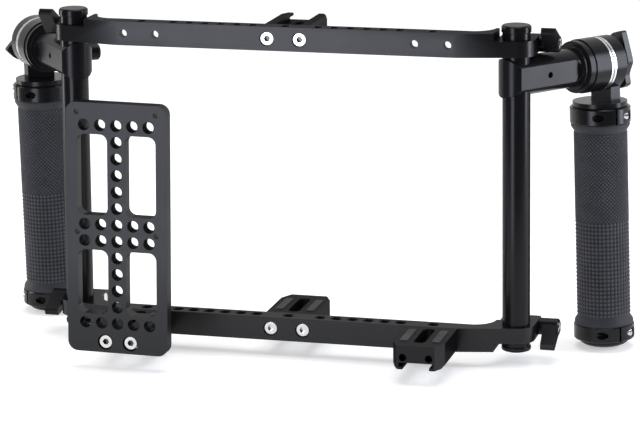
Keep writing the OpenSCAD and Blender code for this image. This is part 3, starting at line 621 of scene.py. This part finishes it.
# %% Screws with painted shade in their sockets
SOCKET_DEPTH, SOCKET_REACH, SCREW_EDGE = 1.95 * MM, 0.2 * MM, 0.15 * MM
SOCKET_NODES = ("plate_screws", "bottom_bar_screws", "top_bar_screws")
for name in SOCKET_NODES:
    shape = merged(name)
    # Marks the floor of the socket, which gets painted shade.
    socket_shade = shape.verts.layers.float.new("socket_shade")
    floor_y = min(v.co.y for v in shape.verts) + SOCKET_DEPTH
    for v in shape.verts:
        v[socket_shade] = float(abs(v.co.y - floor_y) < SOCKET_REACH)
    edged_piece(shape, name, SCREW_EDGE)

# %% [markdown]
# ## Rod ends
#
# The photograph shows the left rod's top a little higher than the right one's, and flatter caps
# below than above. The copies are stretched and pressed flat here. The lower ends stay where
# they are, because the caps there come close to the bar when the frame is opened.

# %% Rod ends
LEFT_RISE = 0.8 * MM
ROD_FOOT, ROD_MIDDLE = 1.5 * MM, 85 * MM
UPPER_CAP, LOWER_CAP = 3.8, 2.6
ROD_END_EDGES = {"left_rod": 0.20 * MM, "top_caps": 0.20 * MM, "bottom_caps": 0.45 * MM}
for name, width in ROD_END_EDGES.items():
    shape = merged(name)
    for corner_point in shape.verts:
        at = corner_point.co
        if name == "bottom_caps" and at.z < ROD_FOOT:
            at.z = ROD_FOOT + (at.z - ROD_FOOT) * (LOWER_CAP / UPPER_CAP)
        if at.x < 0 and at.z > ROD_MIDDLE:
            at.z += LEFT_RISE
    edged_piece(shape, name, width)

# %% [markdown]
# ## The plate and the knobs
#
# Two pieces are cut from a flat outline and are drawn here: the plate, whose full rows of holes
# and long windows follow the photograph more closely than the construction model's, and the
# two winged knobs. A slab is its loops of points filled with triangles, joined into one face
# with holes, and pushed along the thickness.

# %% Slabs
def circle_loop(x, y, radius, count=36):
    """Points of a circle, in mm."""
    angles = [2 * math.pi * i / count for i in range(count)]
    return [(x + radius * math.cos(a), y + radius * math.sin(a)) for a in angles]


def frame_loop(x, low, high, width, radius, steps=8):
    """Points of a rectangle with round corners, centred on x, from low to high, in mm."""
    points = []
    for k, (side_x, side_y) in enumerate(((1, 1), (-1, 1), (-1, -1), (1, -1))):
        centre_x = x + side_x * (width / 2 - radius)
        centre_y = high - radius if side_y > 0 else low + radius
        for i in range(steps + 1):
            angle = math.radians(90 * k + 90 * i / steps)
            points.append((centre_x + radius * math.cos(angle),
                           centre_y + radius * math.sin(angle)))
    return points


def slab(loops, thickness, place):
    """An editable mesh: flat loops in x and y, pushed from z = 0 to thickness, then placed.

    The loops, the thickness and the matrix are in mm, and the mesh is in metres.
    """
    shape = bmesh.new()
    rim = []
    for loop in loops:
        points = [shape.verts.new((x, y, 0)) for x, y in loop]
        rim += [shape.edges.new((points[i - 1], points[i])) for i in range(len(points))]
    bmesh.ops.triangle_fill(shape, use_beauty=True, edges=rim)
    bmesh.ops.dissolve_limit(shape, angle_limit=FLAT, verts=shape.verts, edges=shape.edges)
    pushed = bmesh.ops.extrude_face_region(shape, geom=shape.faces[:], use_keep_orig=True)
    for item in pushed["geom"]:
        if isinstance(item, bmesh.types.BMVert):
            item.co.z = thickness
    bmesh.ops.recalc_face_normals(shape, faces=shape.faces)
    to_metres = (Matrix.Translation(place.translation * MM) @ place.to_3x3().to_4x4()
                 @ Matrix.Scale(MM, 4))
    bmesh.ops.transform(shape, matrix=to_metres, verts=shape.verts)
    if place.to_3x3().determinant() < 0:
        bmesh.ops.reverse_faces(shape, faces=shape.faces)
    return shape


# %% Plate
PITCH_MM = 9.0
PLATE_X, PLATE_BACK, SCREW_Z, FIRST_ROW = -81.0, -43.0, 6.5, 10.4
PLATE_W, PLATE_T, PLATE_R, PLATE_FOOT, PLATE_HEAD = 56.0, 7.0, 5.5, 5.8, 12.0
PLATE_ROWS, FULL_ROWS = 13, (0, 5, 6, 12)
FULL_COLUMNS = (-2, -1, 1, 2)
WINDOW_X, WINDOW_W, WINDOW_GAP, WINDOW_R = 1.5 * PITCH_MM, 17.0, 5.0, 4.2
PIN_R, PIN_X, PIN_ABOVE, PIN_SIDES = 1.3, 2.45 * PITCH_MM, 0.75 * PITCH_MM, 20
TAP_R, SINK_R, SCREW_X = 3.175, 4.2, 7.0
PLATE_EDGE = 0.30 * MM
PLATE_ANGLE = math.radians(0.75)
plate_place = (Matrix.Translation((PLATE_X, PLATE_BACK, SCREW_Z))
               @ Matrix.Rotation(PLATE_ANGLE, 4, "Y") @ Matrix.Rotation(math.radians(90), 4, "X"))
row_y = [FIRST_ROW + row * PITCH_MM for row in range(PLATE_ROWS)]
plate_holes = [(0, y) for y in row_y]
plate_holes += [(i * PITCH_MM, row_y[row]) for row in FULL_ROWS for i in FULL_COLUMNS]
last_row = row_y[-1]
middle_row = FIRST_ROW + (FULL_ROWS[1] + FULL_ROWS[2]) / 2 * PITCH_MM
plate_loops = [frame_loop(0, -PLATE_FOOT, last_row + PLATE_HEAD, PLATE_W, PLATE_R)]
plate_loops += [circle_loop(x, y, TAP_R) for x, y in plate_holes]
plate_loops += [circle_loop(x, 0, SINK_R) for x in (-SCREW_X, SCREW_X)]
for low_row, high_row in (FULL_ROWS[:2], FULL_ROWS[2:]):
    low, high = row_y[low_row] + WINDOW_GAP, row_y[high_row] - WINDOW_GAP
    plate_loops += [frame_loop(x, low, high, WINDOW_W, WINDOW_R) for x in (-WINDOW_X, WINDOW_X)]
for x in (-PIN_X, PIN_X):
    plate_loops += [circle_loop(x, y, PIN_R, PIN_SIDES) for y in (last_row + PIN_ABOVE, middle_row)]
edged_piece(slab(plate_loops, PLATE_T, plate_place), "cheese_plate", PLATE_EDGE)
print("plate loops", len(plate_loops))

# %% Knobs
# Half of the outline runs from the upper wing's tip down one side. The other half is the same,
# turned half way round, so the wings form a flat S.
KNOB_AT, KNOB_L, HUB_R, WING_T = 67.667, 9.8, 7.5, 4.2
WING_REACH, HUB_SINK, KNOB_EDGE = 1.6, 0.5, 0.40 * MM
HALF_KNOB = ((-2.5, 16.7), (-8.5, 0.0), (-5.5, -7.4), (-6.8, -12.6), (-4.6, -14.5))
KNOB_TURN = {"left": 118.0, "right": 0.0}
SPAN, ROD_BACK, ARM_Z = 248.0, 11.0, 148.3
ARM_SWING = {"left": 39.0, "right": 37.5}
HANDLE_LEAN = {"left": 1.4, "right": -2.0}
MOST_OF_SIDE = 0.45


def arm_place(side):
    """The matrix from an arm's own axes, where X runs outward along it, to the frame, in mm."""
    mirror = Matrix.Scale(-1 if side == "left" else 1, 4, (1, 0, 0))
    rod = Matrix.Translation((SPAN / 2, ROD_BACK, ARM_Z))
    return mirror @ rod @ Matrix.Rotation(math.radians(90 - ARM_SWING[side]), 4, "Z")


def rounded_outline(corners, reach, steps=5):
    """The corners of a loop, each cut off reach before and after and bent round as a parabola.

    No cut takes more than MOST_OF_SIDE of the side that it starts on.
    """
    points = []
    count = len(corners)
    for i, corner in enumerate(corners):
        corner = Vector(corner)
        before, after = Vector(corners[i - 1]), Vector(corners[(i + 1) % count])
        near = min(reach, MOST_OF_SIDE * (before - corner).length,
                   MOST_OF_SIDE * (after - corner).length)
        start = corner + (before - corner).normalized() * near
        end = corner + (after - corner).normalized() * near
        for k in range(steps + 1):
            t = k / steps
            points.append(tuple((1 - t) ** 2 * start + 2 * t * (1 - t) * corner + t * t * end))
    return points


outward = Matrix(((0, 0, 1, 0), (1, 0, 0, 0), (0, 1, 0, 0), (0, 0, 0, 1)))
for side in SIDES:
    hand = -1 if side == "left" else 1
    wings = [(hand * k * x, k * y) for k in (1, -1) for x, y in HALF_KNOB]
    turned = Matrix.Rotation(math.radians(KNOB_TURN[side]), 4, "X") @ outward
    at_wings = arm_place(side) @ Matrix.Translation((KNOB_AT + KNOB_L - WING_T, 0, 0)) @ turned
    at_hub = arm_place(side) @ Matrix.Translation((KNOB_AT, 0, 0)) @ turned
    shape = slab([rounded_outline(wings, WING_REACH)], WING_T, at_wings)
    hub = slab([circle_loop(0, 0, HUB_R)], KNOB_L - WING_T + HUB_SINK, at_hub)
    hub_mesh = bpy.data.meshes.new("hub")
    hub.to_mesh(hub_mesh)
    hub.free()
    shape.from_mesh(hub_mesh)
    edged_piece(shape, side + "_knob", KNOB_EDGE, KNOB_CORNER)

# %% [markdown]
# ## The CAD pieces that stay
#
# Only the toothed rings stay: their flanks are flat and their edges sharp, as on the real
# ones. They get their finish.

# %% Finishes for the rest
taken = {name for names in ROUNDING.values() for name in names}
taken |= {*DOMES, *SOCKET_NODES, *ROD_END_EDGES, "cheese_plate"}
taken |= {side + what for side in SIDES for what in ("_grip", "_knob")}
for name, piece in frame["nodes"].items():
    if name in taken:
        continue
    piece.data.materials.clear()
    piece.data.materials.append(finish[slot_of[name]])
print("kept as they are", len(frame["nodes"]) - len(taken))

# %% [markdown]
# ## Rubber grips
#
# Each grip is a moulded sleeve: smooth flared ends, fine lozenge studs on the upper half, and
# rows of square studs on the lower half. It is one surface over two parameters, the turn and
# the height. The radius is a profile in height plus the studs' height, so the studs are real
# geometry and show in the outline.

# %% Grip surface
# Lengths are in mm. Heights are counted from the handle's joint, downward below 0. The flare
# holds its full radius for FLARE_HOLD from either end and is gone FLARE_FADE further on, and the
# lip drops by LIP_DROP over the last LIP_FADE. SAMPLES is the number of points for each stud.
HANDLE_AT = 59.67
GRIP_TOP, GRIP_BOTTOM = -32.2, -143.6
GRIP_R, FLARE_R, CORE_R = 14.6, 16.1, 10.55
FLARE_HOLD, FLARE_FADE, LIP_DROP, LIP_FADE = 1.2, 4.2, 0.25, 0.3
STUDS_ROUND, SAMPLES = 43, 6
LOZENGE, SQUARE = 2.13, 2.2
ZONE_TOP, ZONE_SPLIT, ZONE_END, ZONE_FADE = -36.9, -85.9, -138.4, 0.4
STUD_RISE, STUD_SINK, STUD_STEEP = 0.10, 0.55, 2.6
# SMOOTH_TONE puts the smooth ends between the grooves' painted shade and the tops' painted light.
SMOOTH_TONE = 0.3
TOP_STEPS = (0, 0, 0.3, 1.2, 2.2, 3.3, 4.3)
LOW_STEPS = (4.0, 3.0, 2.0, 1.2, 0.3, 0, 0)


def handle_place(side):
    """The matrix from a handle's own axes to the frame, in mm: out along the arm, and leaned."""
    lean = Matrix.Rotation(math.radians(HANDLE_LEAN[side]), 4, "X")
    return arm_place(side) @ lean @ Matrix.Translation((HANDLE_AT, 0, 0))


def ramp(x):
    """Rises smoothly from 0 to 1 as x goes from 0 to 1, and stays flat beyond."""
    x = np.clip(x, 0, 1)
    return x * x * (3 - 2 * x)


def tooth(phase):
    """A plateau of 1 with a narrow groove down to 0 at every whole number."""
    return ramp(np.abs((phase + 0.5) % 1 - 0.5) * STUD_STEEP)


def grip_rows():
    """Heights of the grid's rows: close together across the studs, few elsewhere."""
    fine = np.arange(ZONE_TOP, ZONE_SPLIT, -LOZENGE / SAMPLES)
    coarse = np.arange(ZONE_SPLIT, ZONE_END, -SQUARE / SAMPLES)
    top = [GRIP_TOP - step for step in TOP_STEPS]
    low = [ZONE_END, ZONE_END - ZONE_FADE] + [GRIP_BOTTOM + step for step in LOW_STEPS]
    return np.concatenate([top, fine, coarse, low])


def grip_points():
    """The grip in its own axes, in mm, and the stud mask.

    Radius = profile(z) + studs(turn, z). The profile is a straight sleeve that flares at both
    ends. Studs are the product of two groove waves: of turn plus height and turn minus height
    for the lozenges, and of turn and height alone for the squares.
    """
    z = grip_rows()[:, None]
    turn_share = np.arange(STUDS_ROUND * SAMPLES)[None, :] / (STUDS_ROUND * SAMPLES)
    around = turn_share * STUDS_ROUND
    near_end = np.minimum(GRIP_TOP - z, z - GRIP_BOTTOM)
    flare = ramp(1 - (near_end - FLARE_HOLD) / FLARE_FADE)
    profile = GRIP_R - STUD_SINK + (FLARE_R - GRIP_R + STUD_SINK) * flare
    profile = profile - LIP_DROP * ramp(1 - near_end / LIP_FADE)
    down = (ZONE_TOP - z) / LOZENGE
    lozenges = tooth(around + down) * tooth(around - down)
    squares = tooth(around) * tooth((ZONE_SPLIT - z) / SQUARE)
    in_fine = ramp((ZONE_TOP - z) / ZONE_FADE) * (z > ZONE_SPLIT)
    in_coarse = (z <= ZONE_SPLIT) * ramp((z - ZONE_END) / ZONE_FADE)
    studs = lozenges * in_fine + squares * in_coarse
    radius = profile + (STUD_SINK + STUD_RISE) * studs * (flare < 0.5)
    radius[0], radius[-1] = CORE_R, CORE_R
    angle = 2 * math.pi * turn_share
    points = np.stack([radius * np.cos(angle), radius * np.sin(angle), z + 0 * angle], axis=-1)
    smooth_part = SMOOTH_TONE * (1 - in_fine - in_coarse)
    return points, np.clip(studs + smooth_part, 0, 1)


# %% Grid surfaces
def grid_faces(rows, columns, flip=False):
    """The quads of a grid of points that closes on itself round its columns."""
    at = np.arange(rows * columns).reshape(rows, columns)
    beside = np.roll(at, -1, axis=1)
    quads = np.stack([at[:-1], at[1:], beside[1:], beside[:-1]], axis=-1).reshape(-1, 4)
    return quads[:, ::-1] if flip else quads


SHARP_OVER = math.radians(50)


def surface_piece(name, points, faces, body, slot):
    """One object from arrays of points in metres and of faces, smooth but for its sharp edges."""
    mesh = bpy.data.meshes.new(name)
    mesh.from_pydata(points.reshape(-1, 3).tolist(), [], faces.tolist())
    mesh.materials.append(finish[slot])
    mesh.shade_smooth()
    mesh.set_sharp_from_angle(angle=SHARP_OVER)
    piece = bpy.data.objects.new(name, mesh)
    scene.collection.objects.link(piece)
    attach(piece, body)
    return piece


def moved(points, matrix):
    """Points through a matrix in mm, to metres in the frame."""
    m = np.array(matrix)
    return (points @ m[:3, :3].T + m[:3, 3]) * MM


# %% Both grips
grip_local, stud_mask = grip_points()
for side in SIDES:
    faces = grid_faces(*grip_local.shape[:2], flip=side == "left")
    points = moved(grip_local, handle_place(side))
    grip = surface_piece(side + "_studded_grip", points, faces, side + "_handle", "grip_rubber")
    # The stud attribute carries the grooves' painted shade and the tops' painted light.
    attribute = grip.data.attributes.new("stud", "FLOAT", "POINT")
    attribute.data.foreach_set("value", stud_mask.ravel().astype(np.float32))
    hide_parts(side + "_grip")
    print(grip.name, len(grip.data.polygons), "faces")

# %% [markdown]
# ## Threads
#
# The accessory holes are tapped. A thread seen from its mouth is a stack of fine bright lines
# that lead in over a small chamfer. Each is a tube over two parameters, turn and depth, whose
# radius is the wall's minus a triangle wave that advances one pitch each turn.

# %% Thread surface
HOLE_R, THREAD_PITCH, THREAD_DEPTH = 3.165, 1.27, 0.42
MOUTH_SINK, MOUTH_FADE = 0.1, 0.8
ROUND, PER_PITCH = 24, 6


def thread_tube(length):
    """A thread along +Z from 0 to length, in mm. Its crests sink into the wall at both mouths."""
    rows = int(round(length / THREAD_PITCH * PER_PITCH)) + 1
    z = np.linspace(0, length, rows)[:, None]
    turn_share = np.arange(ROUND)[None, :] / ROUND
    wave = 1 - np.abs(2 * ((z / THREAD_PITCH - turn_share) % 1) - 1)
    mouth = ramp(np.minimum(z, length - z) / MOUTH_FADE - MOUTH_SINK)
    radius = HOLE_R - THREAD_DEPTH * wave * mouth
    angle = 2 * math.pi * turn_share
    return np.stack([radius * np.cos(angle), radius * np.sin(angle), z + 0 * angle], axis=-1)


def threads(name, length, starts, axis, body, slot):
    """One piece with a thread in every hole.

    starts are the low ends of the holes in mm, and axis, "Z" or "Y", is their direction.
    """
    tube = thread_tube(length)
    if axis == "Y":
        tube = np.stack([tube[..., 0], tube[..., 2], -tube[..., 1]], axis=-1)
    copies = tube[None] + np.array(starts)[:, None, None, :]
    one = grid_faces(*tube.shape[:2])
    each = tube.shape[0] * tube.shape[1]
    faces = (one[None] + each * np.arange(len(starts))[:, None, None]).reshape(-1, 4)
    surface_piece(name, copies * MM, faces, body, slot)


BAR_H, TOP_BAR_Z = 13.0, 160
COLUMNS = [0, 2, 3, 4, 5, 6, 7, 9]
bar_columns = sorted({sign * i for i in COLUMNS for sign in (1, -1)})

for bar, low_end, body in (("bottom", 0, "bottom_frame"), ("top", TOP_BAR_Z, "upper_frame")):
    bar_starts = [(i * PITCH_MM, 0, low_end) for i in bar_columns]
    threads(bar + "_bar_threads", BAR_H, bar_starts, "Z", body, "bar_black")
plate_starts = [tuple(plate_place @ Vector((x, y, PLATE_T))) for x, y in plate_holes]
threads("plate_threads", PLATE_T, plate_starts, "Y", "bottom_frame", "plate_black")
print("threads", 2 * len(bar_columns) + len(plate_holes))
